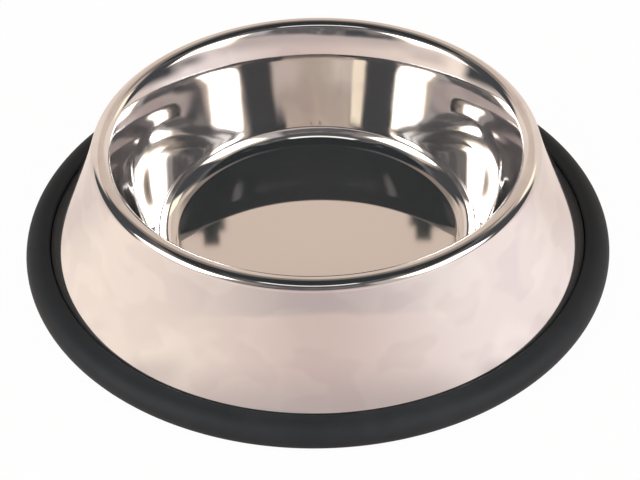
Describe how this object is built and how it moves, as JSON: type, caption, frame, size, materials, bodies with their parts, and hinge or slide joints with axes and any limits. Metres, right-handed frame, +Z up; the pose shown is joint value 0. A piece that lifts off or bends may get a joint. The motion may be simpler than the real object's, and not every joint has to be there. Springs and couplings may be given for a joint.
{
  "type": "non-tip dog bowl",
  "caption": "Round stainless steel pet bowl drawn from one sheet, with a rolled rim, a skirt that flares to the foot and a non-slip rubber ring.",
  "frame": {"origin": "on the axis of the round bowl, in the plane of the table that the rubber ring rests on", "axes": "+Z up along the bowl's axis, +X to the right and -Y towards the viewer of the picture; the bowl is the same all round"},
  "size_m": [0.2, 0.2, 0.045],
  "materials": {
    "polished_steel": "stainless steel polished to a mirror",
    "black_rubber": "smooth moulded rubber, satin"
  },
  "bodies": {
    "root": {"steel_bowl": "polished_steel", "rubber_ring": "black_rubber"}
  },
  "joints": []
}
